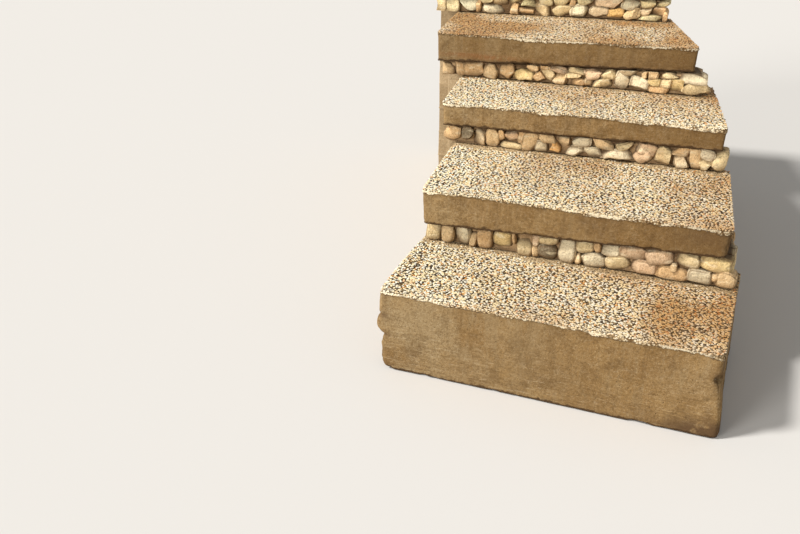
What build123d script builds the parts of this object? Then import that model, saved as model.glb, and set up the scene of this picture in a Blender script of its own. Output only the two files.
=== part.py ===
from build123d import *
import os
from math import cos, radians, sin, tan

# Concrete garden steps: five cast slabs with a washed pebble topping, each upper one laid on a ring of
# mortared cobbles over a concrete footing. The flight was laid by eye, so it bends a little to the left as
# it climbs and no two slabs are quite alike.
# Steps are numbered from the bottom. Sizes are in millimetres and degrees.

slab_width = 985                              # along the front edge
rise = 180                                    # one step's top to the next one's
going = 382                                   # one front edge to the next one's, square to the front
slab_lap = 128                                # how far a slab runs in under the next step at such a going
upper_thick = 95                              # an upper slab with its topping
bottom_height = 285                           # floor to the top of the bottom step

# How the flight was really laid: what each step, or each pair of steps, differs from those sizes
width_slips = (6, -15, 6, 3, 0)
rise_slips = (20, -19, -5, 4)
going_slips = (-27, 57, -38, 10)
left_thick_slips = (34, -6, 20, 9)            # slabs 2 to 5, at the left end
right_thick_slips = (2, -12, -3, -1)          # and at the right end
side_shifts = (-12, -54, -122, -115)          # how far the next front's middle lies to the right
turns = (0, 1.2, 2.2, 4.2, 5.0)               # how far each front has turned to the left
left_leans = (1.5, 3.0, 4.0, 1.5, 4.0)        # lean of the left end to the left, from front to back
right_leans = (-3.4, 1.8, 6.0, 12.4, 8.0)     # the same of the right end

topping_thick = 24
foot_flare = 4                                # the bottom step's ends splay out towards the floor
end_draft = 1.5                               # the upper slabs' ends draw in towards their underside
corner_radius = 20                            # upright front corners
arris_radius = 8                              # top edges worn round by feet

cobble_depth = 70                             # how deep the cobbles reach into the mortar
left_recesses = (32, 22, 36, 16)              # cobbles of steps 2 to 5 behind their front, at the left end
right_recesses = (0, 14, -20, 16)             # and at the right end, where some stand proud
left_inset = 10                               # cobbles and footing inside the left end of their slab
right_insets = (-30, -18, -42, 6)             # and inside its right end, past which most of them reach
back_recess = 18                              # cobbles in from the back of the top slab

slab_depth = going + slab_lap
widths = [slab_width + slip for slip in width_slips]
rises = [rise + slip for slip in rise_slips]
goings = [going + slip for slip in going_slips]
step_count = len(widths)


def thickness(step):
    """Left and right thickness of a step, counted from 0."""
    if step == 0:
        return bottom_height, bottom_height
    return upper_thick + left_thick_slips[step - 1], upper_thick + right_thick_slips[step - 1]


def top_level(step):
    return bottom_height + sum(rises[:step])


def front_place(step):
    """Location of the middle of a step's front edge, on the floor, with X along the front."""
    x, y = 0.0, 0.0
    for below in range(step):
        turn = radians(turns[below])
        x += side_shifts[below] * cos(turn) - goings[below] * sin(turn)
        y += side_shifts[below] * sin(turn) + goings[below] * cos(turn)
    return Pos(x, y, 0) * Rot(0, 0, turns[step])


def end_x(step, side, y, inset=0):
    """X of a step's left (side -1) or right (side 1) end at a distance y behind its front."""
    lean = radians(left_leans[step] if side < 0 else right_leans[step])
    return side * (widths[step] / 2 - inset / cos(lean)) - y * tan(lean)


def cross_line(step, behind_left, behind_right, left=0, right=0):
    """A line across a step, from end to end, by how far behind the front and how far in it starts and stops."""
    return (
        Vector(end_x(step, -1, behind_left, left), behind_left),
        Vector(end_x(step, 1, behind_right, right), behind_right),
    )


def between(near, far):
    """Outline of what lies between two lines across a step."""
    return Polyline(near[0], near[1], far[1], far[0], close=True)


def whole_slab(step):
    return between(cross_line(step, 0, 0), cross_line(step, slab_depth, slab_depth))


def underside(step):
    """Plane of a slab's underside, its normal upwards, in the slab's own place."""
    left, right = thickness(step)
    left_x, right_x = end_x(step, -1, 0), end_x(step, 1, 0)
    level = top_level(step)
    along = Vector(right_x - left_x, 0, left - right)
    return Plane(origin=(left_x, 0, level - left), x_dir=along, z_dir=Vector(0, 1, 0).cross(along) * -1)


def front_corners(solid):
    upright = [edge for edge in solid.edges() if abs(edge.tangent_at(0.5).Z) > 0.9]
    return [edge for edge in upright if edge.center().Y < slab_depth / 2]


def tread_slab(step):
    """The cast slab below its topping: ends drafted, front corners rounded, underside out of level."""
    top = top_level(step) - topping_thick
    depth = max(thickness(step)) - topping_thick
    slab = extrude(Plane.XY.offset(top) * make_face(whole_slab(step)), amount=-depth)
    ends = [face for face in slab.faces() if abs(face.normal_at().X) > 0.9]
    slab = draft(ends, Plane.XY.offset(top), foot_flare if step == 0 else -end_draft)
    if step > 0:
        slab = split(slab, bisect_by=underside(step), keep=Keep.TOP)
    return fillet(front_corners(slab), corner_radius)


def pebble_topping(step):
    """The wearing layer: as wide as the slab, its front and end edges worn round."""
    under = top_level(step) - topping_thick
    layer = extrude(Plane.XY.offset(under) * make_face(whole_slab(step)), amount=topping_thick)
    layer = fillet(front_corners(layer), corner_radius)
    top_face = layer.faces().sort_by(Axis.Z)[-1]
    back_edge = top_face.edges().sort_by(Axis.Y)[-1]
    worn = [edge for edge in top_face.edges() if edge != back_edge]
    return fillet(worn, arris_radius)


def insets(step, deeper=0):
    """How far the ring of cobbles under a step stays inside its left and right ends."""
    return left_inset + deeper, right_insets[step - 1] + deeper


def ring_front(step, deeper=0):
    """Line of the cobbles' faces under a step's front, or a line that much further in."""
    left, right = left_recesses[step - 1], right_recesses[step - 1]
    return cross_line(step, left + deeper, right + deeper, *insets(step))


def ring_back(step, deeper=0):
    """The cobbles' back line: the slab's back, where the next footing stands, or inside the top slab's."""
    behind = slab_depth - deeper - (back_recess if step == step_count - 1 else 0)
    return cross_line(step, behind, behind, *insets(step))


def under_slab(step, ground):
    """A prism on the level of the step below, up to this slab's underside."""
    seat = top_level(step - 1)
    block = extrude(Plane.XY.offset(seat) * ground, amount=top_level(step) - seat)
    return split(block, bisect_by=underside(step), keep=Keep.BOTTOM)


def front_run_ground(step):
    return make_face(between(ring_front(step), ring_front(step, cobble_depth)))


def back_run_ground(step):
    return make_face(between(ring_back(step, cobble_depth), ring_back(step)))


def inner_ground(step):
    """The ground of the end runs and the mortar: behind the front run, before the back run if there is one."""
    last = step == step_count - 1
    return make_face(between(ring_front(step, cobble_depth), ring_back(step, cobble_depth if last else 0)))


def mortar_ground(step):
    """The middle of the inner ground, between the two end runs."""
    near = cross_line(step, -slab_depth, -slab_depth, *insets(step, cobble_depth))
    far = cross_line(step, 2 * slab_depth, 2 * slab_depth, *insets(step, cobble_depth))
    return inner_ground(step) & make_face(between(near, far))


def end_run_ground(step, side):
    """What the mortar leaves of the inner ground at the left (side -1) or right (side 1) end."""
    ends = (inner_ground(step) - mortar_ground(step)).faces().sort_by(Axis.X)
    return ends[0] if side < 0 else ends[-1]


def crossing(step, side, line):
    """Where the outer line of a step's cobbles at one end crosses a line across the flight."""
    a, b = line
    inset = insets(step)[0 if side < 0 else 1]
    near, far = end_x(step, side, 0, inset), end_x(step, side, slab_depth, inset)
    slope = (far - near) / slab_depth
    share = (a.X - near - slope * a.Y) / (slope * (b.Y - a.Y) - (b.X - a.X))
    return a + (b - a) * share


def footing(step):
    """Concrete from the floor to the level of the step below, between that step's back and this one's."""
    move = front_place(step).inverse() * front_place(step - 1)
    line = [(move * Pos(x, slab_depth, 0)).position for x in (-widths[step - 1], widths[step - 1])]
    near = (crossing(step, -1, line), crossing(step, 1, line))
    return extrude(make_face(between(near, ring_back(step))), amount=top_level(step - 1))


def flight():
    """Every piece by name, in its place, the first front's middle at the origin."""
    pieces = {}
    for step in range(step_count):
        place = front_place(step)
        number = step + 1
        pieces[f"tread_slab_{number}"] = place * tread_slab(step)
        pieces[f"pebble_topping_{number}"] = place * pebble_topping(step)
        if step == 0:
            continue
        pieces[f"front_cobbles_{number}"] = place * under_slab(step, front_run_ground(step))
        pieces[f"left_cobbles_{number}"] = place * under_slab(step, end_run_ground(step, -1))
        pieces[f"right_cobbles_{number}"] = place * under_slab(step, end_run_ground(step, 1))
        pieces[f"mortar_fill_{number}"] = place * under_slab(step, mortar_ground(step))
        pieces[f"footing_{number}"] = place * footing(step)
    last = step_count - 1
    pieces[f"back_cobbles_{step_count}"] = front_place(last) * under_slab(last, back_run_ground(last))
    return pieces


pieces = flight()
whole = Compound(children=[Part() + piece for piece in pieces.values()]).bounding_box()
to_origin = Pos(-whole.center().X, -whole.center().Y, -whole.min.Z)
os.makedirs("parts", exist_ok=True)
for name, piece in pieces.items():
    export_step(to_origin * piece, f"parts/{name}.step")
print(len(pieces), "pieces, first front's middle at", to_origin.position)
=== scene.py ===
# Garden steps of cast concrete on river cobbles: the surfaces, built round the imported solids.
# Metres, Z up, X to the right along the bottom front, Y up the flight.
import re
import bpy
import numpy as np
from math import radians
from mathutils import Matrix, Vector


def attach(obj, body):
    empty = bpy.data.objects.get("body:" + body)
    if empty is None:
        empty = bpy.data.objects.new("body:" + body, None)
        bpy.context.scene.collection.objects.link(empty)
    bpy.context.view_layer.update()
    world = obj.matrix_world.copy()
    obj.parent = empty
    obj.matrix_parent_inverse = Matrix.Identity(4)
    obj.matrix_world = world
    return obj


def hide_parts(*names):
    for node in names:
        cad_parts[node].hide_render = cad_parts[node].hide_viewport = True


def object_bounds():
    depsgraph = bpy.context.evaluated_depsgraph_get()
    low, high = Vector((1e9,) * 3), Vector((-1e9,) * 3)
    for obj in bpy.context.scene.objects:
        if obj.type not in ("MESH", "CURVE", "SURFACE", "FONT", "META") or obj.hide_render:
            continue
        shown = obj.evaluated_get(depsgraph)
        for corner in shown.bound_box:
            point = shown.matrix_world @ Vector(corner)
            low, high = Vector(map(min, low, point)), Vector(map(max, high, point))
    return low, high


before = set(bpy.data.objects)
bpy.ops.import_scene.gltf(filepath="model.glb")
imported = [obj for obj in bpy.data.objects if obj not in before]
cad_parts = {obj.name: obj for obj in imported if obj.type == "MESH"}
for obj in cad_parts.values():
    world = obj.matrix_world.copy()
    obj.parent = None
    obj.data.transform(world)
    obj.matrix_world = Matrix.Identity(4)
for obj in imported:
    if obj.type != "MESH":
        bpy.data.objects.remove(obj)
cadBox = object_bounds()
upward = np.array([0.0, 0.0, 1.0])
stepCount = sum(name.startswith("tread_slab_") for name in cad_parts)
print("frame loaded,", stepCount, "steps")


# Numbers and shapes

def latticeNoise(points, size, seed):
    # random values on a cubic lattice of this size, blended by 3t^2 - 2t^3 along each axis, -1 to 1
    place = points / size
    cell = np.floor(place).astype(np.int64)
    blend = place - cell
    blend = blend * blend * (3 - 2 * blend)
    total = np.zeros(points.shape[:-1])
    for corner in np.ndindex(2, 2, 2):
        near = cell + np.array(corner)
        mixed = near[..., 0] * 73856093 ^ near[..., 1] * 19349663 ^ near[..., 2] * 83492791 ^ seed * 40503
        mixed = (mixed ^ (mixed >> 13)) * 1274126177
        value = ((mixed ^ (mixed >> 16)) & 65535) / 32767.5 - 1
        total += value * np.prod(np.where(np.array(corner) == 1, blend, 1 - blend), axis=-1)
    return total


def layeredNoise(points, size, seed, octaves=3):
    # sum of noises, each half as large and half as strong as the one before
    return sum(latticeNoise(points, size / 2 ** n, seed + n) / 2 ** n for n in range(octaves))


def ease(value, low, high):
    # 0 at low, 1 at high, 3t^2 - 2t^3 between
    share = np.clip((value - low) / (high - low), 0, 1)
    return share * share * (3 - 2 * share)


def facePlane(node, way):
    # plane of the node's largest face that looks this way, within about 30 degrees: its normal and its
    # distance from the origin
    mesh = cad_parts[node].data
    count = len(mesh.polygons)
    normals, centres, areas = np.empty((count, 3)), np.empty((count, 3)), np.empty(count)
    for label, numbers in (("normal", normals), ("center", centres), ("area", areas)):
        mesh.polygons.foreach_get(label, numbers.ravel())
    best = np.argmax(np.where(normals @ way > 0.85, areas, 0))
    return normals[best], normals[best] @ centres[best]


def movedIn(plane, distance):
    # the plane shifted against its normal
    return plane[0], plane[1] - distance


def depthInside(planes, points):
    # distance from the nearest of these planes, inwards
    return np.min([offset - points @ normal for normal, offset in planes], axis=0)


def meetingPoints(planes):
    # the eight points where a left or right, a front or back and a bottom or top plane meet
    points = np.empty((2, 2, 2, 3))
    for index in np.ndindex(2, 2, 2):
        three = [planes[axis][side] for axis, side in enumerate(index)]
        points[index] = np.linalg.solve([normal for normal, _ in three], [offset for _, offset in three])
    return points


def blended(corners, share):
    # trilinear blend of eight corners
    points = np.zeros((len(share), 3))
    for index in np.ndindex(2, 2, 2):
        weight = np.prod(np.where(np.array(index) == 1, share, 1 - share), axis=1)
        points += weight[:, None] * corners[index]
    return points


def gridLines(length, spacing, edge):
    # lines across the middle, even or given as an array, and close ones in the zone at each edge
    zone, middle = np.linspace(0, edge, 4), spacing
    if np.ndim(spacing) == 0:
        steps = max(2, round((length - 2 * edge) / spacing))
        middle = np.linspace(edge, length - edge, steps + 1)[1:-1]
    return np.concatenate([zone, middle, length - zone[::-1]])


def shellQuads(counts):
    # grid points on the six sides of a box of this many points each way, and the quads that join them
    grid = np.stack(np.meshgrid(*[np.arange(n) for n in counts], indexing="ij"), axis=-1)
    onSkin = ((grid == 0) | (grid == np.array(counts) - 1)).any(axis=-1)
    number = np.full(counts, -1)
    number[onSkin] = np.arange(onSkin.sum())
    quads = []
    for axis in range(3):
        for end in (0, -1):
            sheet = np.take(number, end, axis=axis)
            four = np.stack([sheet[:-1, :-1], sheet[1:, :-1], sheet[1:, 1:], sheet[:-1, 1:]], axis=-1)
            four = four.reshape(-1, 4)
            quads.append(four if (end == -1) != (axis == 1) else four[:, ::-1])
    return grid[onSkin], np.concatenate(quads)


def blockSkin(corners, spacing, edge):
    # closed skin of a six-sided block: a grid on each side, each point drawn to the distance edge from
    # the inner block, which rounds all edges; local places are metres from the left, front and bottom
    sides = [np.diff(corners, axis=axis).squeeze(axis).reshape(4, 3) for axis in range(3)]
    size = np.array([np.linalg.norm(side, axis=1).mean() for side in sides])
    axes = np.array([side.mean(axis=0) / np.linalg.norm(side.mean(axis=0)) for side in sides])
    lines = [gridLines(length, step, edge) for length, step in zip(size, spacing)]
    grid, quads = shellQuads([len(line) for line in lines])
    flat = np.stack([lines[axis][grid[:, axis]] for axis in range(3)], axis=-1)
    inner = np.clip(flat, edge, size - edge)
    out = (flat - inner) / np.linalg.norm(flat - inner, axis=1, keepdims=True)
    local = inner + edge * out
    toEdge = np.sort(np.minimum(flat, size - flat), axis=1)[:, 1]
    return dict(local=local, out=out, size=size, axes=axes, quads=quads, corners=corners, toEdge=toEdge)


def inPlace(block, local):
    # local metres into the flight's place, by their shares of the block
    return blended(block["corners"], local / block["size"])


def added(name, data):
    made = bpy.data.objects.new(name, data)
    bpy.context.scene.collection.objects.link(made)
    return made


def makePiece(name, points, faces, finish, replaced=(), values=None, tints=None):
    # a mesh kept inside the solids' box, with its numbers and colours per point
    mesh = bpy.data.meshes.new(name)
    mesh.from_pydata(np.clip(points, *np.array(cadBox)).tolist(), [], faces.tolist())
    mesh.polygons.foreach_set("use_smooth", np.ones(len(faces), bool))
    for label, numbers in (values or {}).items():
        mesh.attributes.new(label, "FLOAT", "POINT").data.foreach_set("value", numbers.astype(np.float32))
    if tints is not None:
        colours = np.concatenate([tints, np.ones((len(tints), 1))], axis=1).astype(np.float32)
        mesh.attributes.new("tint", "FLOAT_COLOR", "POINT").data.foreach_set("color", colours.ravel())
    mesh.materials.append(finish)
    mesh.update()
    piece = added(name, mesh)
    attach(piece, "root")
    for node in replaced:
        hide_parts(node)
    return piece


# Shader maths

class Wire:
    # one output of a node: arithmetic on it adds Math nodes, or Vector Math on vectors
    def __init__(self, nodes, socket):
        self.nodes = nodes
        self.socket = socket

    def joined(self, operation, *others):
        parts = (self,) + others
        vector = any(isinstance(part, Wire) and part.socket.type != "VALUE" for part in parts)
        kind = "ShaderNodeVectorMath" if vector else "ShaderNodeMath"
        return self.nodes.node(kind, {"operation": operation}, dict(enumerate(parts)))

    def __add__(self, other):
        return self.joined("ADD", other)

    def __sub__(self, other):
        return self.joined("SUBTRACT", other)

    def __mul__(self, other):
        return self.joined("MULTIPLY", other)

    def __rsub__(self, other):
        return self.joined("MULTIPLY", -1.0).joined("ADD", other)

    __radd__ = __add__
    __rmul__ = __mul__

    def step(self, low, high):
        # 0 below low, 1 above high, smooth between; swapped limits turn it round
        settings = {"interpolation_type": "SMOOTHSTEP"}
        limits = {"From Min": min(low, high), "From Max": max(low, high)}
        rising = self.nodes.node("ShaderNodeMapRange", settings, {"Value": self, **limits})
        return 1 - rising if low > high else rising


class Nodes:
    # the nodes of a material or of the world, and the one method that adds any of them; colours are given
    # as wires, as names of hues or as linear red, green and blue
    def __init__(self, owner):
        owner.use_nodes = True
        self.tree = owner.node_tree

    def node(self, kind, settings=None, sockets=None, out=0):
        made = self.tree.nodes.new(kind)
        for key, value in (settings or {}).items():
            setattr(made, key, value)
        for key, value in (sockets or {}).items():
            self.feed(made.inputs[key], value)
        return Wire(self, made.outputs[out])

    def feed(self, socket, value):
        if isinstance(value, Wire):
            self.tree.links.new(value.socket, socket)
        elif socket.type == "RGBA":
            socket.default_value = (*(hues[value] if isinstance(value, str) else value), 1.0)
        elif socket.type == "VECTOR" and not hasattr(value, "__len__"):
            socket.default_value = (value,) * 3
        else:
            socket.default_value = value


class Finish(Nodes):
    # a material, its Principled shader and what its finishes are made of
    def __init__(self, name):
        self.material = bpy.data.materials.new(name)
        super().__init__(self.material)
        self.shader = self.tree.nodes["Principled BSDF"]
        self.place = self.node("ShaderNodeTexCoord", out="Object")

    def value(self, label, out="Fac"):
        return self.node("ShaderNodeAttribute", {"attribute_name": label}, out=out)

    def stretched(self, *scales):
        return self.place.joined("MULTIPLY", scales)

    def noise(self, scale, detail=3.0, place=None, rough=0.55):
        sockets = {"Vector": place or self.place, "Scale": scale, "Detail": detail, "Roughness": rough}
        return self.node("ShaderNodeTexNoise", None, sockets)

    def cells(self, scale, out="Distance"):
        return self.node("ShaderNodeTexVoronoi", None, {"Vector": self.place, "Scale": scale}, out)

    def mix(self, share, first, second, blend="MIX"):
        settings = {"data_type": "RGBA", "blend_type": blend}
        return self.node("ShaderNodeMix", settings, {0: share, 6: first, 7: second}, out=2)

    def layered(self, colour, *layers):
        # a colour with layers laid over it in turn, each given by its share and its colour
        for share, over in layers:
            colour = self.mix(share, colour, over)
        return colour

    def bump(self, height, distance):
        return self.node("ShaderNodeBump", None, {"Height": height, "Distance": distance})

    def finished(self, colour, rough, normal, specular=0.3):
        for key, value in (("Base Color", colour), ("Roughness", rough), ("Normal", normal)):
            self.feed(self.shader.inputs[key], value)
        self.shader.inputs["Specular IOR Level"].default_value = specular
        return self.material


# Finishes

hues = dict(
    concrete=(0.244, 0.141, 0.05), concretePale=(0.338, 0.213, 0.087),
    concreteDark=(0.125, 0.07, 0.025), limeMortar=(0.95, 0.82, 0.58),
    sand=(0.72, 0.54, 0.31), greyFilm=(0.3, 0.216, 0.113),
    # soil brown; it also paints shade under the lips, at the feet, under the slabs and deep in the cobbles'
    # joints
    rust=(0.27, 0.1, 0.035), soilAndShade=(0.11, 0.063, 0.029),
    wetSoilAndShade=(0.055, 0.03, 0.013), film=(0.27, 0.155, 0.062),
    filmTint=(0.69, 0.475, 0.3), gap=(0.185, 0.11, 0.046),
    stain=(0.66, 0.4, 0.17), vein=(1.0, 0.86, 0.58),
    paleSpeck=(1.0, 0.88, 0.6), rimShadeAndDirt=(0.2, 0.11, 0.045),
    bedMortar=(0.52, 0.35, 0.185), bedDark=(0.21, 0.125, 0.058),
    footing=(0.42, 0.31, 0.18), footingDark=(0.27, 0.19, 0.1),
)


def slabFinish():
    # tan concrete: broad patches, drips, level trowel marks that grow stronger downwards, grit and pits;
    # above the ragged lip it turns into pebbles cut across in pale mortar, and mortar on the tread
    f = Finish("slab_concrete")
    grain = f.noise(120.0, 5.0, rough=0.7)
    grit = f.noise(330.0, 3.0, rough=0.65)
    patches = f.noise(4.2, 5.0)
    blotches = f.noise(15.0, 6.0, rough=0.6)
    mottle = f.noise(38.0, 6.0, rough=0.72)
    streaks = f.noise(1.0, 3.0, f.stretched(40, 40, 7))
    marks = f.noise(1.0, 5.0, f.stretched(15, 15, 215), 0.72)
    drips = f.noise(1.0, 5.0, f.stretched(30, 30, 1.6), 0.62)
    low = f.value("marks")
    ragged = f.value("lip") + (f.noise(95.0, 3.0) - 0.5) * 0.02
    # painted shadow with soil in the step under the lip, in patches
    ledgeShadeAndSoil = ragged.step(-0.0048, -0.0015) * f.noise(26.0, 3.0).step(0.34, 0.52)
    # a ragged dark line along the foot: painted contact shade with wet soil
    footLine = (f.value("foot") + (f.noise(45.0, 5.0) - 0.5) * 0.03).step(0.0125, 0.007)
    pits = f.cells(48.0).step(0.085, 0.05) * f.noise(6.0).step(0.5, 0.6)
    face = f.layered(
        f.mix(patches.step(0.36, 0.64), "concrete", "concretePale"),
        (f.value("grey") * f.noise(8.0, 4.0).step(0.3, 0.6) * 0.75, "greyFilm"),
        (streaks.step(0.5, 0.66) * 0.3, "greyFilm"),
        (blotches.step(0.48, 0.7) * 0.5, "concreteDark"),
        (mottle.step(0.5, 0.66) * 0.42, "concreteDark"),
        (mottle.step(0.48, 0.34) * 0.06, "limeMortar"),
        (marks.step(0.5, 0.64) * (low * 0.38 + 0.1), "concreteDark"),
        (marks.step(0.43, 0.31) * (low * 0.2 + 0.03), "limeMortar"),
        (grain.step(0.5, 0.66) * 0.55, "concreteDark"),
        (grain.step(0.46, 0.32) * 0.09, "limeMortar"),
        (grit.step(0.54, 0.66) * 0.42, "concreteDark"),
        (grit.step(0.42, 0.33) * 0.13, "limeMortar"),
        (drips.step(0.5, 0.66) * (0.34 - low * 0.16), "concreteDark"),
        (drips.step(0.47, 0.35) * (0.26 - low * 0.12), "greyFilm"),
        # painted shade: the front darker where less light falls on it
        (f.value("shade") * 0.7, "concreteDark"),
        # painted shadow with soil under the lip
        (ledgeShadeAndSoil * 0.65, "soilAndShade"),
        (f.value("rust") * f.noise(60.0, 3.0).step(0.3, 0.5), "rust"),
        # soil stains, and painted contact shade along the foot, in soil brown
        (f.value("dirtAndShade") * f.noise(30.0, 5.0).step(0.25, 0.55) * 0.9, "soilAndShade"),
        # painted contact shade with wet soil along the foot
        (footLine * 0.9, "wetSoilAndShade"),
        (pits * 0.75, "soilAndShade"),
    )
    crumbs = f.noise(170.0, 3.0, rough=0.6)
    picked = f.cells(165.0, "Color")
    mortar = f.layered(
        f.mix(picked.step(0.4, 0.46), "sand", "limeMortar"),
        (picked.step(0.66, 0.7), "soilAndShade"),
        (f.cells(165.0).step(0.34, 0.62) * 0.85, "gap"),
        (f.noise(14.0, 4.0).step(0.46, 0.56) * crumbs.step(0.36, 0.46), "limeMortar"),
        # painted shade: the mortar between the pebbles dark brown
        (f.value("gap"), "gap"),
        (f.value("sand"), f.mix(crumbs.step(0.36, 0.56), "concreteDark", "sand")),
        (f.value("film") * 0.5, "concreteDark"),
    )
    lip = ragged.step(-0.0008, 0.0008)
    height = grain * 0.7 + marks * (low * 0.7 + 0.1) + mottle * 1.2 - pits + lip * crumbs * 2.0
    return f.finished(f.mix(lip, face, mortar), 0.9 - grain * 0.08, f.bump(height, 0.003), 0.12)


def pebbleFinish():
    # each pebble keeps its own colour, darkened in specks; a brown film dulls and tints it in patches
    f = Finish("washed_pebbles")
    speck = f.noise(650.0, 2.0)
    colour = f.mix(speck.step(0.6, 0.8) * 0.15, f.value("tint", "Color"), "concreteDark")
    dulled = f.mix(0.34, f.mix(1.0, colour, "filmTint", "MULTIPLY"), "film")
    colour = f.mix(f.value("film"), colour, dulled)
    return f.finished(colour, 0.6 + speck * 0.2, f.bump(speck, 0.0004), 0.4)


def cobbleFinish():
    # river stone: its own colour, mottled, with pale veins, tan stains and dark and pale specks; its
    # underside is darker as painted shade, its rim as painted shade with dirt, and what lies deep in the
    # joints as painted shade with soil
    f = Finish("river_cobbles")
    tint = f.value("tint", "Color")
    mottle = f.noise(42.0, 6.0, rough=0.68)
    speck = f.noise(150.0, 6.0, rough=0.78)
    veins = f.noise(1.0, 5.0, f.stretched(18, 18, 60))
    colour = f.layered(
        f.mix(mottle.step(0.48, 0.64) * 0.5, tint, tint * 0.62),
        (veins.step(0.54, 0.64) * 0.5, "vein"),
        (f.noise(19.0, 5.0).step(0.54, 0.68) * 0.34, "stain"),
        (speck.step(0.5, 0.64) * 0.47, "concreteDark"),
        (speck.step(0.46, 0.34) * 0.4, "paleSpeck"),
        # painted shade: the underside of each stone darker
        (f.value("under").step(0.15, 0.85) * 0.5, "bedDark"),
        # painted shade with dirt round each stone's rim
        (f.value("rim").step(0.78, 1.04) * mottle.step(0.25, 0.5) * 0.68, "rimShadeAndDirt"),
        # painted shade with soil deep in the joints
        (f.value("depth").step(0.008, 0.024) * 0.92, "soilAndShade"),
    )
    return f.finished(colour, 0.8 - mottle * 0.15, f.bump(mottle * 2.8 + speck * 1.4, 0.0034), 0.22)


def mortarFinish(name, base, dark, boards=0.0):
    # rough mortar or cast concrete: patches, grit, open pores, and soil with painted shade where a piece's
    # numbers put them; with boards also a tone and level grain lines for each board's print, and pale seams
    # between the prints
    f = Finish(name)
    grit = f.noise(230.0, 3.0)
    pores = f.cells(80.0).step(0.15, 0.06) * f.noise(11.0).step(0.48, 0.62)
    colour = f.mix(f.noise(5.5, 5.0).step(0.34, 0.68), dark, base)
    if boards:
        board = f.value("board")
        tone = f.node("ShaderNodeTexWhiteNoise", {"noise_dimensions": "1D"}, {"W": board.joined("FLOOR")})
        grainLines = f.noise(1.0, 5.0, f.stretched(6, 6, 190), 0.65).step(0.44, 0.66)
        seam = (board.joined("FRACT") - 0.5).joined("ABSOLUTE").step(0.455, 0.495)
        colour = f.layered(colour, (tone * boards, dark), (grainLines * boards, dark), (seam * 0.5, base))
    colour = f.layered(
        colour,
        (grit.step(0.52, 0.72) * 0.18, "limeMortar"),
        (grit.step(0.46, 0.32) * 0.35, "bedDark"),
        (pores * 0.7, "soilAndShade"),
        # soil and painted shade, where the piece's numbers put them
        (f.value("dirtAndShade") * f.noise(13.0, 5.0).step(0.3, 0.6), "soilAndShade"),
    )
    return f.finished(colour, 0.9, f.bump(grit * 0.6 + f.noise(48.0, 5.0) * 1.5 - pores * 1.4, 0.003), 0.25)


slabMaterial = slabFinish()
pebbleMaterial = pebbleFinish()
cobbleMaterial = cobbleFinish()
bedMaterial = mortarFinish("bedding_mortar", "bedMortar", "bedDark")
footingMaterial = mortarFinish("footing_concrete", "footing", "footingDark", boards=0.42)
print("finishes made")


# The flight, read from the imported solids

def readStep(number):
    # planes of a slab and, from the second one up, of the ring of cobbles under it, each as a pair
    # for left and right, front and back, bottom and top
    def plane(kind, way):
        return facePlane(f"{kind}_{number}", way)

    front = plane("tread_slab", np.array([0.0, -1.0, 0.0]))
    back = -front[0]
    along = np.cross(back, upward)
    top = plane("pebble_topping", upward)
    under = plane("tread_slab", -upward)
    ends = (plane("tread_slab", -along), plane("tread_slab", along))
    step = dict(number=number, along=along, back=back, level=top[1])
    step["slab"] = (ends, (front, plane("tread_slab", back)), (under, top))
    if number > 1:
        rear = plane("back_cobbles" if number == stepCount else "mortar_fill", back)
        sides = (plane("left_cobbles", -along), plane("right_cobbles", along))
        face = plane("front_cobbles", front[0])
        seat = plane("front_cobbles", -upward)
        step["ring"] = (sides, (face, rear), (seat, (-under[0], -under[1])))
    return step


steps = [readStep(number) for number in range(1, stepCount + 1)]


def outsideCobbles(step, points):
    # how far points on a tread lie outside the ring of cobbles that stands on it
    if step["number"] == stepCount:
        return np.full(len(points), 1.0)
    sides, (face, _), _ = steps[step["number"]]["ring"]
    return -depthInside((*sides, face), points)


# Slabs

slabLook = dict(
    spacing=(0.007, 0.015, 0.007), edge=0.009, corner=0.02,
    wave=0.0012, waveSize=0.2, grain=0.0005, grainSize=0.022,
    chip=0.015, lipChip=0.006, chipSize=0.05, chipReach=0.011, chipLeast=0.16,
    lipDepth=0.0105, lipStep=0.0028, lipSwing=0.0062, lipSize=0.11, lipFine=0.45, lipFineSize=0.024,
    topSink=0.002, sandStrip=0.027, sandSwing=0.01,
    thinMarks=0.45, footShadeAndDirt=0.016,
)

# Corners worn round in the front's elevation: slab, end (0 left, 1 right), foot or top (0, 1), radius
# and how far back it fades out
wornCorners = [
    (1, 0, 0, 0.06, 0.3), (1, 1, 0, 0.02, 0.25), (1, 0, 1, 0.02, 0.3), (1, 1, 1, 0.014, 0.06),
    (2, 1, 0, 0.026, 0.2), (2, 0, 1, 0.012, 0.08), (3, 1, 0, 0.014, 0.1), (4, 1, 0, 0.012, 0.1),
    (4, 1, 1, 0.01, 0.06), (5, 0, 1, 0.012, 0.1), (5, 1, 0, 0.016, 0.12),
]

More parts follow.
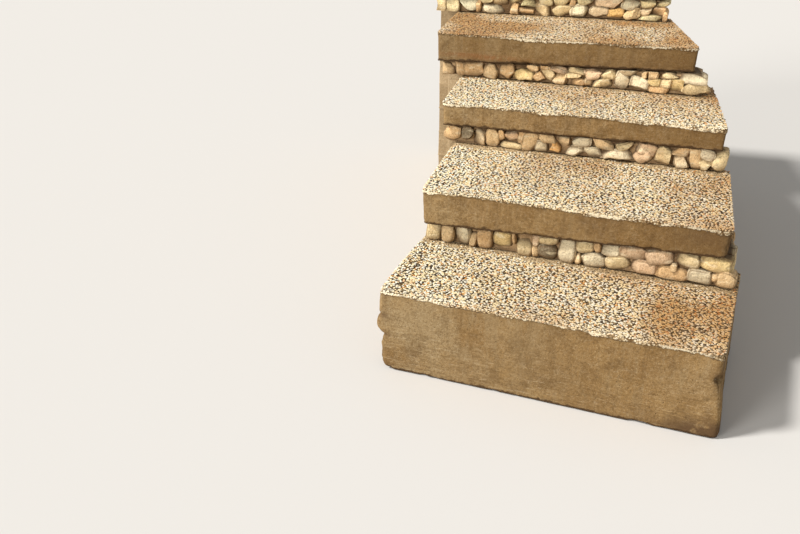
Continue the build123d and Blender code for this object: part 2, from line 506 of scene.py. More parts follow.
# Lumps and bites in the skin: slab, place from the left, front and bottom as shares of the slab, reach
# in metres along, back and up, and the shift in millimetres to the right, backwards and up
dents = [
    (1, (0.000, 0.10, 0.820), (0.060, 0.400, 0.160), (-19, 0, 0)),
    (1, (0.000, 0.03, 0.570), (0.040, 0.070, 0.034), (-9, 0, -2)),
    (1, (0.000, 0.03, 0.430), (0.050, 0.120, 0.030), (8, 0, 0)),
    (1, (0.080, 0.00, 0.520), (0.110, 0.020, 0.009), (0, -3, 0)),
    (1, (1.000, 0.02, 0.120), (0.070, 0.160, 0.130), (11, 0, 0)),
    (1, (0.000, 0.03, 0.690), (0.030, 0.050, 0.010), (7, 3, 0)),
    (1, (0.000, 0.03, 0.440), (0.030, 0.050, 0.010), (6, 3, 0)),
    (1, (0.965, 0.00, 0.450), (0.008, 0.020, 0.008), (0, 9, 0)),
    (1, (1.000, 0.02, 0.700), (0.026, 0.040, 0.020), (-16, 8, 0)),
    (1, (0.985, 0.02, 0.960), (0.026, 0.020, 0.018), (-4, 8, -4)),
    (1, (0.640, 0.00, 0.200), (0.060, 0.020, 0.004), (0, 3, 0)),
    (1, (0.300, 0.00, 0.985), (0.060, 0.014, 0.010), (0, 4, -3)),
    (2, (0.800, 0.00, 0.930), (0.035, 0.016, 0.012), (0, 5, -2)),
    (3, (0.860, 0.00, 0.950), (0.028, 0.014, 0.012), (0, 6, -3)),
    (4, (0.420, 0.00, 0.960), (0.040, 0.014, 0.010), (0, 4, -2)),
]

# Where the lip hangs lower: slab, place along the front as a share, reach and depth in metres
lipDrops = [(1, 1.0, 0.045, 0.018), (1, 0.66, 0.1, 0.004), (2, 0.93, 0.09, 0.006), (3, 0.95, 0.08, 0.004)]

# Stains and painted shade: slab, which kind, centre as shares along and up the front, reach in metres,
# strength; the shade ones are painted shade, darker where less light falls on a front, and the dirt ones
# darken the front in soil brown
stains = [
    (1, "grey", (0.1, 0.6), (0.42, 0.3), 1.0), (1, "dirtAndShade", (1.0, 0.02), (0.16, 0.055), 1.6),
    (1, "dirtAndShade", (0.0, 0.69), (0.04, 0.009), 1.2), (1, "dirtAndShade", (0.0, 0.45), (0.03, 0.01), 1.2),
    (1, "dirtAndShade", (0.0, 0.04), (0.05, 0.06), 0.6), (1, "dirtAndShade", (1.0, 0.74), (0.03, 0.04), 0.9),
    (1, "shade", (0.5, 0.35), (0.22, 0.2), 0.3), (1, "grey", (1.0, 0.62), (0.22, 0.07), 0.45),
    (2, "shade", (0.55, 0.5), (0.3, 0.2), 0.4), (2, "shade", (1.0, 0.5), (0.26, 0.2), 0.9),
    (2, "dirtAndShade", (0.6, 0.75), (0.1, 0.06), 0.35), (2, "dirtAndShade", (0.95, 0.75), (0.14, 0.06), 0.55),
    (2, "grey", (0.0, 0.5), (0.25, 0.2), 0.6),
    (3, "grey", (0.05, 0.5), (0.25, 0.2), 0.8), (3, "shade", (1.0, 0.5), (0.34, 0.3), 0.65),
    (4, "rust", (0.23, 0.2), (0.11, 0.008), 0.5), (4, "rust", (0.12, 0.27), (0.09, 0.006), 0.5),
    (4, "grey", (0.05, 0.5), (0.25, 0.2), 0.7), (4, "dirtAndShade", (0.75, 0.15), (0.2, 0.04), 0.3),
    (4, "shade", (0.5, 0.5), (0.9, 0.3), 0.5), (4, "shade", (1.0, 0.5), (0.45, 0.2), 0.85),
    (5, "shade", (0.5, 0.5), (0.9, 0.3), 0.4),
]

# Brown film on the treads: its strength at the left front, right front, left rear and right rear of each
treadFilm = {1: (0.0, 0.62, 0.12, 1.15), 2: (0.0, 0.55, 0.14, 0.78), 3: (0.0, 0.46, 0.44, 0.86),
             4: (0.72, 0.64, 1.02, 0.98), 5: (0.1, 0.15, 0.3, 0.3)}


def roundedBy(radius, near):
    # shift that draws points outside a corner's quarter circle onto it, near holding the two distances
    arm = np.clip(radius - near, 0, None)
    length = np.maximum(np.linalg.norm(arm, axis=1, keepdims=True), radius)
    return arm * (1 - radius / length)


def wornRound(local, size, number):
    # round corners in plan at the front, then the worn ones in elevation, which fade out to the back
    for end in (0, 1):
        near = np.stack([abs(end * size[0] - local[:, 0]), local[:, 1]], axis=1)
        local[:, :2] += roundedBy(slabLook["corner"], near) * (1 - 2 * end, 1)
    for slab, end, top, radius, fade in wornCorners:
        if slab == number:
            near = abs(np.array([end, top]) * size[[0, 2]] - local[:, [0, 2]])
            weight = 1 - ease(local[:, 1:2], 0, fade)
            local[:, [0, 2]] += roundedBy(radius, near) * weight * (1 - 2 * end, 1 - 2 * top)


def bellAt(local, size, centre, reach):
    # 1 at the centre, 0 at the reach, as 1 - r^2
    away = (((local - np.array(centre) * size) / reach) ** 2).sum(axis=1)
    return np.clip(1 - away, 0, 1)


def dentShift(number, local, size):
    # what the lumps and bites of a slab shift its points by, in metres along its own axes
    shift = np.zeros_like(local)
    for slab, centre, reach, push in dents:
        if slab == number:
            shift += bellAt(local, size, centre, reach)[:, None] * np.array(push) / 1000
    return shift


def filmOver(step, share):
    # film strength: blend of the four corners' strengths, broken up by noise
    a, b, c, d = treadFilm[step["number"]]
    u, v = share[:, 0], share[:, 1]
    broad = (a * (1 - u) + b * u) * (1 - v) + (c * (1 - u) + d * u) * v
    spots = layeredNoise(np.stack([u * 6, v * 2.6, np.zeros_like(u)], axis=1), 1.0, 300 + step["number"])
    return np.clip(broad * (1 + 0.6 * spots) + 0.1 * np.clip(spots, 0, 1), 0, 1)


def sandOver(step, points):
    # 1 on the plain strip of mortar just outside the next ring of cobbles, fading out over the pebbles
    swing = slabLook["sandSwing"] * layeredNoise(points, 0.03, 8 + 10 * step["number"])
    out = outsideCobbles(step, points) + swing
    return (1 - ease(out, 0.3 * slabLook["sandStrip"], slabLook["sandStrip"])) * ease(out, -0.03, -0.02)


def stainOver(label, number, local, size):
    # strength of a slab's stains or painted shade of one kind: the greatest of their bells exp(-r^2),
    # fading to the back
    strength = np.zeros(len(local))
    for slab, kind, centre, reach, most in stains:
        if slab == number and kind == label:
            away = (((local / size)[:, [0, 2]] - centre) * size[[0, 2]] / reach) ** 2
            bell = most * np.exp(-away.sum(axis=1)) * (1 - ease(local[:, 1], 0.02, 0.2))
            strength = np.maximum(strength, bell)
    return strength


def slabSkin(step):
    # block skin with its worn corners, then drawn inwards by waves, grain, chips near its edges, the step
    # below the ragged lip and the depth of the mortar between the pebbles, and shifted by the dents
    number, look = step["number"], slabLook
    block = blockSkin(meetingPoints(step["slab"]), look["spacing"], look["edge"])
    local, out, size = block["local"], block["out"], block["size"]
    wornRound(local, size, number)
    points = inPlace(block, local)
    seed = 10 * number
    share = local / size
    upright = 1 - np.abs(out[:, 2])
    lipNoise = np.clip(layeredNoise(points, look["lipSize"], seed + 7), -0.5, 0.8)
    lipNoise += look["lipFine"] * layeredNoise(points, look["lipFineSize"], seed + 8)
    lip = look["lipDepth"] + look["lipSwing"] * lipNoise - step["level"] + points[:, 2]
    for slab, centre, reach, drop in lipDrops:
        if slab == number:
            lip += drop * np.exp(-((share[:, 0] - centre) * size[0] / reach) ** 2)
    inward = look["wave"] * (1 + layeredNoise(points, look["waveSize"], seed))
    inward += look["grain"] * (1 + layeredNoise(points, look["grainSize"], seed + 3))
    inward += look["lipStep"] * upright * ease(-lip, -0.001, 0.003)
    bite = np.clip(layeredNoise(points, look["chipSize"], seed + 5) - look["chipLeast"], 0, 1)
    chip = np.where(share[:, 2] < 0.5, look["chip"], look["lipChip"])
    inward += np.exp(-(block["toEdge"] / look["chipReach"]) ** 2) * bite * chip
    sand = sandOver(step, points)
    flatTop = np.clip(out[:, 2], 0, 1)
    inward += look["topSink"] * flatTop * (1 - 0.7 * sand)
    points = points + (dentShift(number, local, size) - out * inward[:, None]) @ block["axes"]
    # where the mortar between the pebbles is painted dark: painted shade
    gap = ease(flatTop, 0.55, 0.95) * (1 - sand)
    marks = (1 - ease(share[:, 2], 0.14, 0.85)) * (1.0 if number == 1 else look["thinMarks"])
    values = dict(lip=lip, foot=local[:, 2], marks=marks, sand=sand, gap=gap, film=filmOver(step, share))
    for label in ("grey", "shade", "rust", "dirtAndShade"):
        values[label] = stainOver(label, number, local, size)
    # painted contact shade with soil along the foot of the front
    footShadeAndDirt = 0.9 * (1 - ease(local[:, 2], 0.0, look["footShadeAndDirt"])) * upright
    values["dirtAndShade"] = np.maximum(values["dirtAndShade"], footShadeAndDirt)
    names = (f"tread_slab_{number}", f"pebble_topping_{number}")
    makePiece(f"cast_slab_{number}", points, block["quads"], slabMaterial, names, values)
    return 2 * len(block["quads"])


print("slabs cast, triangles:", [slabSkin(step) for step in steps])


# Washed pebbles

pebbleLook = dict(
    pitch=0.0073, wander=0.36, spread=0.17, seed=41,
    small=0.0031, large=0.005, leastShape=(1.0, 0.75, 0.45), mostShape=(1.3, 1.0, 0.65), tilt=0.1,
    sides=6, rimTurn=0.16, rimReach=(0.9, 1.1), rimHeight=(-0.1, 0.35), footDepth=1.6, sharp=50,
    arris=0.009, edge=0.004, edgeStrip=0.006, edgeLargest=0.0038,
    under=0.012, proud=(-0.0005, 0.001), sandSink=0.0008, sandGaps=0.75,
    shades=(0.92, 1.0), frontStrip=0.05, frontPale=0.35,
)
# Share and colour of the pebbles, from dark to pale
pebbleTints = [
    (0.15, (0.054, 0.042, 0.026)), (0.05, (0.28, 0.2, 0.095)),
    (0.03, (0.7, 0.33, 0.08)), (0.05, (0.56, 0.47, 0.3)),
    (0.08, (0.8, 0.54, 0.25)), (0.04, (0.8, 0.5, 0.29)),
    (0.35, (1.0, 0.85, 0.52)), (0.37, (1.0, 0.97, 0.8)),
]


def pebbleShape(count, random):
    # crowns of a few uneven rim points between a low top and a deep foot: points and faces
    look = pebbleLook
    sides = look["sides"]
    ring = np.arange(sides)
    turn = ring * 2 * np.pi / sides + random.uniform(-look["rimTurn"], look["rimTurn"], (count, sides))
    radius = random.uniform(*look["rimReach"], (count, sides))
    height = random.uniform(*look["rimHeight"], (count, sides))
    rim = np.stack([radius * np.cos(turn), radius * np.sin(turn), height], axis=-1)
    tips = np.broadcast_to([(0.0, 0.0, 1.0), (0.0, 0.0, -look["footDepth"])], (count, 2, 3))
    after = (ring + 1) % sides
    crown = np.stack([ring, after, np.full(sides, sides)], axis=1)
    foot = np.stack([after, ring, np.full(sides, sides + 1)], axis=1)
    return np.concatenate([rim, tips], axis=1), np.concatenate([crown, foot])


def honeycomb(wide, deep, random):
    # jittered places on a tread, in metres from its left front corner, and their order for the colours,
    # 0 to 1: lots lowered by those of the neighbours, so that dark pebbles seldom lie side by side
    pitch, edge = pebbleLook["pitch"], pebbleLook["edge"]
    rowPitch = pitch * 0.75 ** 0.5
    row, column = np.meshgrid(np.arange(int(deep / rowPitch)), np.arange(int(wide / pitch)), indexing="ij")
    lot = random.random(row.shape)
    lot -= pebbleLook["spread"] * sum(np.roll(lot, way, axis) for axis in (0, 1) for way in (-1, 1))
    order = lot.ravel().argsort().argsort() / lot.size
    row, column = row.ravel(), column.ravel()
    wander = random.uniform(-pebbleLook["wander"], pebbleLook["wander"], (len(row), 2)) * pitch
    u = np.clip((column + 0.5 + 0.5 * (row % 2)) * pitch + wander[:, 0], edge, wide - edge)
    v = np.clip((row + 0.5) * rowPitch + wander[:, 1], edge, deep - edge)
    return u, v, order


def pebbles(step):
    # one small closed stone at each place, turned at random; the tops are worn flat in the tread's plane
    # and follow its rounded edge
    number, look = step["number"], pebbleLook
    random = np.random.default_rng(look["seed"] + number)
    corners = meetingPoints(step["slab"])
    wide = np.linalg.norm(corners[1, 0, 1] - corners[0, 0, 1])
    tall = np.linalg.norm(corners[0, 0, 1] - corners[0, 0, 0])
    deep = step["slab"][1][1][1] + step["slab"][1][0][1]
    u, v, order = honeycomb(wide, deep, random)
    share = np.stack([u / wide, v / deep, np.ones_like(u)], axis=1)
    place = blended(corners, share)
    toEnd = np.minimum(u, wide - u)
    arm = np.clip(slabLook["corner"] - np.stack([toEnd, v], axis=1), 0, None)
    inCorner = slabLook["corner"] - np.linalg.norm(arm, axis=1)
    toRim = np.where((arm > 0).all(axis=1), inCorner, np.minimum(toEnd, v))
    bend = np.clip(look["arris"] - toRim, 0, look["arris"])
    place[:, 2] -= look["arris"] - np.sqrt(look["arris"] ** 2 - bend ** 2)
    sparse = sandOver(step, place) > 0.5
    keep = (outsideCobbles(step, place) > -look["under"]) & (toRim > 0.9 * look["edge"])
    keep &= ~(sparse & (random.random(len(u)) < look["sandGaps"]))
    place, share, toRim, sparse, order = [each[keep] for each in (place, share, toRim, sparse, order)]
    count = len(place)
    slabSize = np.array([wide, deep, tall])
    place += dentShift(number, share * slabSize, slabSize) @ np.array([step["along"], step["back"], upward])
    size = random.uniform(look["small"], look["large"], count)
    half = size[:, None] * random.uniform(look["leastShape"], look["mostShape"], (count, 3))
    most = np.where(toRim < look["edgeStrip"], look["edgeLargest"], np.inf)
    half[:, :2] = np.minimum(half[:, :2], most[:, None])
    place[:, 2] -= half[:, 2] - random.uniform(*look["proud"], count) + look["sandSink"] * sparse
    body, triangles = pebbleShape(count, random)
    body = body * half[:, None]
    body[..., 2] += random.normal(0, look["tilt"], (count, 1)) * body[..., 0]
    turn = random.uniform(0, 2 * np.pi, count)[:, None]
    x = body[..., 0] * np.cos(turn) - body[..., 1] * np.sin(turn)
    y = body[..., 0] * np.sin(turn) + body[..., 1] * np.cos(turn)
    points = np.stack([x, y, body[..., 2]], axis=-1) + place[:, None]
    points[..., 2] = np.minimum(points[..., 2], step["level"])
    shares = np.cumsum([part for part, _ in pebbleTints])
    chosen = np.searchsorted(shares / shares[-1], order, side="right")
    tints = np.array([tint for _, tint in pebbleTints])[chosen]
    tints = tints * random.uniform(*look["shades"], (count, 1))
    strip = look["frontStrip"]
    pale = look["frontPale"] * (1 - ease(share[:, 1:2] * deep, 0.2 * strip, strip))
    tints += (hues["limeMortar"] - tints) * pale
    each = body.shape[1]
    faces = (triangles + each * np.arange(count)[:, None, None]).reshape(-1, 3)
    film = np.repeat(filmOver(step, share), each)
    bed = makePiece(f"pebbles_{number}", points.reshape(-1, 3), faces, pebbleMaterial,
                    values=dict(film=film), tints=np.repeat(tints, each, axis=0))
    bed.data.set_sharp_from_angle(angle=radians(look["sharp"]))
    return count


print("pebbles laid:", [pebbles(step) for step in steps])


# Cobbles

courseLook = dict(
    seed=7, depth=0.064, depthShare=(0.84, 1.0), cornerShare=0.9, headroom=0.003, clear=0.0005,
    proud=0.004, lean=5, swing=0.16, shades=(0.88, 1.0), divisions=7, gridBend=0.7, sharp=20,
    cuts=9, cutDepth=0.96, noiseSize=0.026,
    roundPower=(2.8, 4.8), roundCut=(0.82, 0.98), roundNoise=0.0018, roundSwell=1.1,
    brokenPower=(3.8, 6.5), brokenCut=(0.52, 0.86), brokenNoise=0.0036, brokenSwell=1.17,
    bedSpacing=(0.018, 0.022, 0.012), bedEdge=0.005, bedSink=0.019, bedRough=0.005,
    shoulder=0.045, shoulderDrop=0.013,
)
# Each step's kind of stone and how bright its courses are: the top course's stones are lighter, painted
# light where the slab above shades them, and the lowest course's darker, painted shade with dirt
courseKinds = {2: "round", 3: "broken", 4: "broken", 5: "broken"}
courseTones = {2: 0.83, 3: 1.02, 4: 0.99, 5: 1.16}
stoneTints = dict(
    w=(1.0, 0.84, 0.56), c=(1.0, 0.77, 0.42), y=(1.0, 0.74, 0.34),
    t=(1.0, 0.7, 0.37), p=(1.0, 0.69, 0.42), o=(1.0, 0.56, 0.2),
    b=(0.88, 0.57, 0.28), g=(0.9, 0.69, 0.42), k=(0.3, 0.23, 0.14),
)

# The front courses stone by stone: a letter for the colour, from where to where along the course in
# millimetres, then from where to where in percent of its height, if not all of it, and a lean in degrees
frontCourses = {
    2: "c0-52 t52-98 w98-154 t154-180/0-70 b180-231 y231-302 b298-312/40-100 c310-368 p366-388/50-100 "
       "t368-390/0-52 c386-450/60-100 k388-450/0-60 w450-508 c506-566/48-100 t506-530/0-48 w528-604/0-52 "
       "b564-586/60-100 w584-644/52-100 c604-680/0-60^8 p644-726/52-100 p680-760/0-52^-6 p724-808/46-100^8 "
       "b758-856/0-46 c816-884/52-100^-14 t800-822/30-60 w854-930/0-50 y884-982/50-100 b924-942/15-52 "
       "t934-992/0-56",
    3: "b0-54 k54-106/10-100^12 g104-158 t156-205 b203-222/45-100 p220-278/46-100 c203-292/0-50 "
       "b274-296/40-100 t292-344^-6 t341-418/52-100 w340-390/0-56 o388-446/0-56^-18 t416-470/54-100 "
       "w466-532/52-100 w446-524/0-54 w522-575/0-58 t532-622/54-100 w574-684/0-56 c619-688/58-100^10 "
       "p678-742/0-84^-35 p696-760/44-100^-18 c756-818/10-100^14 b812-876/54-100 g815-874/0-56 "
       "t869-912^8 w890-950/56-100^-18 c898-950/0-60^-12 c944-999",
    4: "t0-58 b56-102 b100-186 t182-236^-20 b234-304 y300-374/0-70 t346-396/62-100 c392-456/20-90^-35 "
       "b384-432/0-60^30 b395-440/74-100 p436-512/64-100 t452-510/0-66^-16 c507-576/66-100 c507-576/32-68 "
       "b507-580/0-36 p576-638/40-100 t576-606/0-42 c596-690/0-46^-8 c640-700/46-100 w688-752/6-84^-25 "
       "g694-786/72-100 w748-814/0-78^-14 t784-810/60-100 t806-850/64-100 y808-862/26-68 b810-892/0-28 "
       "c854-924/70-100^-12 c838-892/26-72 y888-948/14-76 w928-1022/52-100^-14 c942-1028/0-56",
    5: "t0-44 c43-98/0-62 t43-98/60-100 w96-178/4-92^-14 b172-196/0-60 w193-318/0-48 t174-258/50-100 "
       "t256-322/48-100 b318-370/0-64 t318-370/62-100 c366-440/38-80^-12 b366-436/0-40 t372-446/78-100 "
       "t430-496/0-56^-25 c446-500/48-100 t496-584/0-58 t496-572/56-100 b570-596/48-100 w580-658/0-62 "
       "c594-662/60-100 g656-732/0-54 p664-792/52-100 o729-792/0-56 w786-856/50-100 t790-860/0-52^8 "
       "t852-924/56-100 g855-908/22-58 b902-956/18-64 c856-958/0-26 c922-968/60-100 b950-968/0-62",
}


def stoneBodies(half, leans, kind, random):
    # each stone is a cube drawn onto |x|^p + |y|^p + |z|^p = 1, cut by a few random planes and made
    # uneven by noise, in its own axes; also how near each point is to the edges of the cube, 0 to 1
    look, divisions = courseLook, courseLook["divisions"]
    grid, quads = shellQuads([divisions + 1] * 3)
    cube = np.tan((grid / divisions - 0.5) * 2 * look["gridBend"]) / np.tan(look["gridBend"])
    count = len(half)
    power = random.uniform(*look[kind + "Power"], (count, 1, 1))
    unit = cube / (np.abs(cube) ** power).sum(axis=-1, keepdims=True) ** (1 / power)
    body = unit * half[:, None]
    dual = (power / (power - 1))[:, :, 0]
    for _ in range(look["cuts"]):
        normal = random.normal(size=(count, 3)) * (1, 0.9, 1)
        normal /= np.linalg.norm(normal, axis=1, keepdims=True)
        support = (np.abs(normal * half) ** dual).sum(axis=1) ** (1 / dual[:, 0])
        reach = support * random.uniform(*look[kind + "Cut"], count)
        excess = np.clip(np.einsum("nvk,nk->nv", body, normal) - reach[:, None], 0, None)
        body -= look["cutDepth"] * excess[..., None] * normal[:, None]
    offset = random.uniform(-9, 9, (count, 1, 3))
    body += look[kind + "Noise"] * layeredNoise(body + offset, look["noiseSize"], 5, 2)[..., None] * unit
    lean = np.radians(leans[:, None] + random.normal(0, look["lean"], (count, 1)))
    x = body[..., 0] * np.cos(lean) - body[..., 2] * np.sin(lean)
    z = body[..., 0] * np.sin(lean) + body[..., 2] * np.cos(lean)
    swing, nod = random.normal(0, look["swing"], (2, count, 1))
    rim = np.tile(np.sort(np.abs(grid / divisions * 2 - 1), axis=1)[:, 1], count)
    return np.stack([x, body[..., 1] + swing * x + nod * z, z], axis=-1), rim, quads


def readCourse(text):
    # letters and rows of left, right, low, high and lean, in millimetres, percent and degrees
    words = re.findall(r"([a-z])(\d+)-(\d+)(?:/(\d+)-(\d+))?(?:\^(-?\d+))?", text)
    usual = (0, 0, 0, 100, 0)
    rows = [[float(part or spare) for part, spare in zip(word[1:], usual)] for word in words]
    return [word[0] for word in words], np.array(rows)


# Made-up courses, in millimetres, percent and degrees: width and lean of the single stones, length of the
# stretch after each and the level that divides it, its stones' usual width, how even they are, the most
# that a joint steps up or down, and the letters of the colours
madeCourse = dict(single=(44, 74), lean=12, stretch=(120, 330), split=(42, 60), usual=66, even=14.0, jog=6,
                  letters="wwcccccyytttttppbbggok")


def randomCourse(length, random):
    # a made-up course of this length in metres: single stones as tall as the course, and between them two
    # rows, each divided on its own
    look = madeCourse
    rows, left = [], 0.0
    while left < length * 1000:
        wide = random.uniform(*look["single"])
        rows.append((left, left + wide, 0, 100, random.uniform(-look["lean"], look["lean"])))
        left += wide
        stretch = random.uniform(*look["stretch"])
        split = random.uniform(*look["split"])
        for low, high in ((0, split), (split, 100)):
            parts = random.dirichlet(np.full(round(stretch / look["usual"]), look["even"]))
            ends = left + stretch * np.cumsum(parts)
            jogs = random.uniform(-look["jog"], look["jog"], len(ends))
            for first, last, jog in zip((left, *ends), ends, jogs):
                rows.append((first, last, low + jog * (low > 0), high + jog * (low == 0), jog))
        left += stretch
    letters = random.choice(list(look["letters"]), len(rows))
    return letters, np.array(rows) * (length * 1000 / left, length * 1000 / left, 1, 1, 1)


def levelAt(plane, places):
    # height of a plane over places on the plan
    return (plane[1] - places[:, :2] @ plane[0][:2]) / plane[0][2]


def cobbleRun(side, number, course, start, along, seat, roof, outward):
    # stones side by side from a start point on the plan, from left to right as seen from outside, with
    # their faces about in the run's outer plane
    look, kind = courseLook, courseKinds[number]
    name = f"cobbles_{side}_{number}"
    random = np.random.default_rng(look["seed"] + sum(map(ord, name)))
    letters, rows = course
    left, right, low, high, leans = rows.T
    count = len(letters)
    x = (left + right) / 2000
    height = levelAt(roof, start + np.outer(x, along)) - seat - look["headroom"]
    z = height * (low + high) / 200
    halfDeep = look["depth"] / 2 * random.uniform(*look["depthShare"], count)
    swell = look[kind + "Swell"]
    half = np.stack([(right - left) / 2000, halfDeep / swell, height * (high - low) / 200], axis=1)
    body, rim, quads = stoneBodies(half * swell, leans, kind, random)
    body[..., 1] += (random.uniform(0.0, look["proud"], count) - body[..., 1].min(axis=1))[:, None]
    body[..., 2] = np.clip(body[..., 2] + z[:, None], look["clear"], height[:, None] - look["clear"])
    # how far below each stone's middle a point lies, for its painted shade underneath
    below = (z[:, None] - body[..., 2]) / half[:, 2:]
    body[..., 0] += x[:, None]
    inward = np.cross(upward, along)
    points = start * (1, 1, 0) + body[..., :1] * along + body[..., 1:2] * inward
    points += (body[..., 2:] + seat) * upward
    points = points.reshape(-1, 3)
    depth = depthInside(outward, points)
    tints = np.array([stoneTints[letter] for letter in letters])
    tints = tints * random.uniform(*look["shades"], (count, 1))
    tints = np.minimum(tints * courseTones[number], 1.0)
    each = body.shape[1]
    faces = (quads + each * np.arange(count)[:, None, None]).reshape(-1, 4)
    values = dict(depth=depth, under=below.ravel(), rim=rim)
    run = makePiece(name, points, faces, cobbleMaterial, (f"{side}_cobbles_{number}",),
                    values, np.repeat(tints, each, axis=0))
    run.data.set_sharp_from_angle(angle=radians(look["sharp"]))
    return count


def layCobbles(step):
    # runs of stones along the ring's outline, the front and back ones past the ends of the others
    number, last = step["number"], step["number"] == stepCount
    random = np.random.default_rng(100 + number)
    (left, right), (front, rear), (seat, roof) = step["ring"]
    outward = [left, right, front] + [rear] * last
    outer = meetingPoints(step["ring"])[:, :, 0]
    corner = courseLook["cornerShare"] * courseLook["depth"]
    rearCorner = corner if last else 0.0
    runs = [("front", (0, 0), (1, 0), 0, 0), ("left", (0, 1), (0, 0), rearCorner, corner),
            ("right", (1, 0), (1, 1), corner, rearCorner), ("back", (1, 1), (0, 1), 0, 0)]
    laid = 0
    for side, first, second, before, after in runs[:4 if last else 3]:
        along = (outer[second] - outer[first]) * (1, 1, 0)
        length = np.linalg.norm(along)
        along = along / length
        start = outer[first] + along * before
        length -= before + after
        course = readCourse(frontCourses[number]) if side == "front" else randomCourse(length, random)
        laid += cobbleRun(side, number, course, start, along, -seat[1], roof, outward)
    bedMortar(step, outward)
    return laid


def bedMortar(step, outward):
    # the mortar between and behind the stones: the ring's own block, drawn in, roughened, with its top
    # sunk towards the outside
    number, look = step["number"], courseLook
    (left, right), (front, rear), (seat, roof) = step["ring"]
    sink = look["bedSink"]
    behind = sink if number == stepCount else 0
    sides = (movedIn(left, sink), movedIn(right, sink))
    planes = (sides, (movedIn(front, sink), movedIn(rear, behind)), (seat, roof))
    block = blockSkin(meetingPoints(planes), look["bedSpacing"], look["bedEdge"])
    points = inPlace(block, block["local"])
    height, tall = block["local"][:, 2], block["size"][2]
    outside = 1 - ease(depthInside(outward, points), 0.3 * look["shoulder"], look["shoulder"])
    drop = look["shoulderDrop"] * (outside * (height / tall) ** 3)
    points[:, 2] -= drop * (1 + 0.4 * latticeNoise(points, 0.02, 80 + number))
    rough = look["bedRough"] * (1 + layeredNoise(points, 0.03, 60 + number))
    rough *= 1 - np.abs(block["out"][:, 2])
    points = points - (block["out"] @ block["axes"]) * rough[:, None]
    # painted shade with soil: darker over the lowest 3 cm, on the tread, and the top 2 cm, under the slab
    dirtAndShade = np.maximum(0.7 * (1 - ease(height, 0.0, 0.03)), 0.9 * ease(height, tall - 0.02, tall))
    makePiece(f"bed_mortar_{number}", points, block["quads"], bedMaterial,
              (f"mortar_fill_{number}",), dict(dirtAndShade=dirtAndShade))


print("cobbles laid:", [layCobbles(step) for step in steps[1:]])


# Footings

footingLook = dict(
    spacing=0.028, edge=0.008, rough=0.0024, roughSize=0.08, dirtHeight=0.1,
    board=0.125, boardShift=0.0016, ridge=0.0026, ridgeHalf=0.003, ridgeSize=0.12,
)


def footingSkin(step):
    # block skin with coarse noise; each board's print lies a little further in or out than the next, and
    # a thin ridge of paste is left at the joints between them
    number, look = step["number"], footingLook
    node = f"footing_{number}"
    ways = (step["along"], step["back"], upward)
    planes = [(facePlane(node, -way), facePlane(node, way)) for way in ways]
    top = planes[2][1][1]
    count = max(1, round(top / look["board"]))
    joints = top * np.arange(1, count) / count
    between = top * (np.arange(4 * count) + 0.5) / (4 * count)
    half = look["ridgeHalf"]
    heights = np.sort(np.concatenate([joints - half, joints, joints + half, between]))
    heights = heights[(heights > look["edge"]) & (heights < top - look["edge"])]
    block = blockSkin(meetingPoints(planes), (look["spacing"], look["spacing"], heights), look["edge"])
    points = inPlace(block, block["local"])
    seed = 200 + number
    level = block["local"][:, 2]
    toJoint = np.abs(level[:, None] - joints).min(axis=1) if count > 1 else np.full(len(level), 1.0)
    shifts = np.random.default_rng(seed).uniform(0, look["boardShift"], count)
    inward = shifts[np.clip((level / top * count).astype(int), 0, count - 1)]
    inward += look["rough"] * (1 + layeredNoise(points, look["roughSize"], seed + 1)) / 2
    ridge = look["ridge"] * ease(toJoint, 0.0, half)
    inward += ridge * ease(layeredNoise(points, look["ridgeSize"], seed + 2), -0.9, 0.1)
    inward *= 1 - np.abs(block["out"][:, 2])
    points = points - (block["out"] @ block["axes"]) * inward[:, None]
    # darker towards the bottom, over the lowest 10 cm
    dirtAndShade = 0.8 * (1 - ease(points[:, 2], 0.0, look["dirtHeight"]))
    makePiece(f"footing_cast_{number}", points, block["quads"], footingMaterial,
              (node,), dict(dirtAndShade=dirtAndShade, board=level / top * count))


for step in steps[1:]:
    footingSkin(step)
print("footings cast")


# Floor, light and camera

# Light as strengths, directions towards it and angles in degrees; the camera from slab 1's left front
# corner in metres and degrees, its focal length and the picture's width in pixels, its sensor in mm
light = dict(
    sky=0.36, skyColour=(1.0, 0.985, 0.96), backdrop=(0.86, 0.83, 0.79), lampColour=(1.0, 0.975, 0.94),
    sun=3.25, sunWay=(-0.6, -0.33, 0.73), sunAngle=8,
    fill=2.0, fillWay=(-0.52, -0.82, 0.24), fillAngle=20,
    floorColour=(0.7, 0.685, 0.66), floorReach=60.0,
)
shot = dict(
    right=0.8275, before=1.9986, above=1.25, turn=21.09, down=28.33, roll=-0.34,
    focal=820, wide=800, sensor=36.0,
)


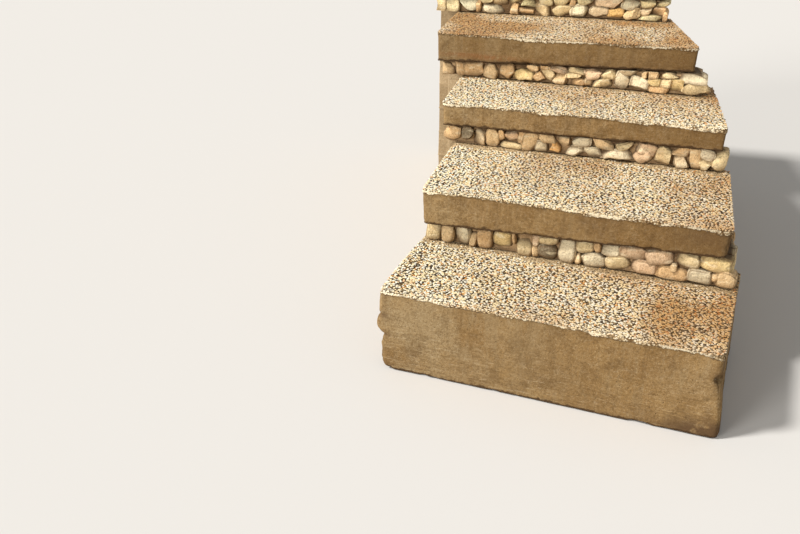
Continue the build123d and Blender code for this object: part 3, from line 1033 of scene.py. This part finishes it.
def stageFloor():
    mesh = bpy.data.meshes.new("floor")
    reach = light["floorReach"]
    corners = [(-reach, -reach, 0), (reach, -reach, 0), (reach, reach, 0), (-reach, reach, 0)]
    mesh.from_pydata(corners, [], [(0, 1, 2, 3)])
    f = Finish("floor")
    mesh.materials.append(f.finished(light["floorColour"], 0.9, f.bump(f.noise(3.0), 0.0001), 0.0))
    added("floor", mesh)


def skyLight():
    # even light from all sides; the camera, reflections and see-through paths get a pale backdrop
    world = bpy.data.worlds.new("studio")
    bpy.context.scene.world = world
    nodes = Nodes(world)
    rays = ("Is Camera Ray", "Is Glossy Ray", "Is Transmission Ray")
    camera, glossy, through = [nodes.node("ShaderNodeLightPath", out=ray) for ray in rays]
    seeing = camera.joined("MAXIMUM", glossy).joined("MAXIMUM", through)
    shade = nodes.tree.nodes["Background"]
    nodes.feed(shade.inputs["Color"], light["skyColour"])
    nodes.feed(shade.inputs["Strength"], light["sky"])
    seen = nodes.node("ShaderNodeBackground", None, {"Color": light["backdrop"]})
    choice = nodes.node("ShaderNodeMixShader", None, {0: seeing, 1: Wire(nodes, shade.outputs[0]), 2: seen})
    nodes.feed(nodes.tree.nodes["World Output"].inputs["Surface"], choice)


def sunLamp(name):
    lamp = bpy.data.lights.new(name, "SUN")
    lamp.energy = light[name]
    lamp.angle = radians(light[name + "Angle"])
    lamp.color = light["lampColour"]
    holder = added(name, lamp)
    holder.rotation_mode = "QUATERNION"
    holder.rotation_quaternion = (-Vector(light[name + "Way"])).to_track_quat("-Z", "Y")


def camera():
    # placed from slab 1's left front corner, turned left of its front's normal, then down, then rolled
    data = bpy.data.cameras.new("camera")
    data.sensor_width = shot["sensor"]
    data.lens = shot["focal"] * data.sensor_width / shot["wide"]
    data.clip_end = 200
    corner = Vector(meetingPoints(steps[0]["slab"])[0, 0, 1])
    pose = Matrix.Translation(corner + Vector((shot["right"], -shot["before"], shot["above"])))
    for angle, axis in ((shot["turn"], "Z"), (90 - shot["down"], "X"), (shot["roll"], "Z")):
        pose = pose @ Matrix.Rotation(radians(angle), 4, axis)
    holder = added("camera", data)
    holder.matrix_world = pose
    bpy.context.scene.camera = holder


stageFloor()
skyLight()
sunLamp("sun")
sunLamp("fill")
camera()
bpy.context.scene.view_settings.view_transform = "Standard"
print("stage set")
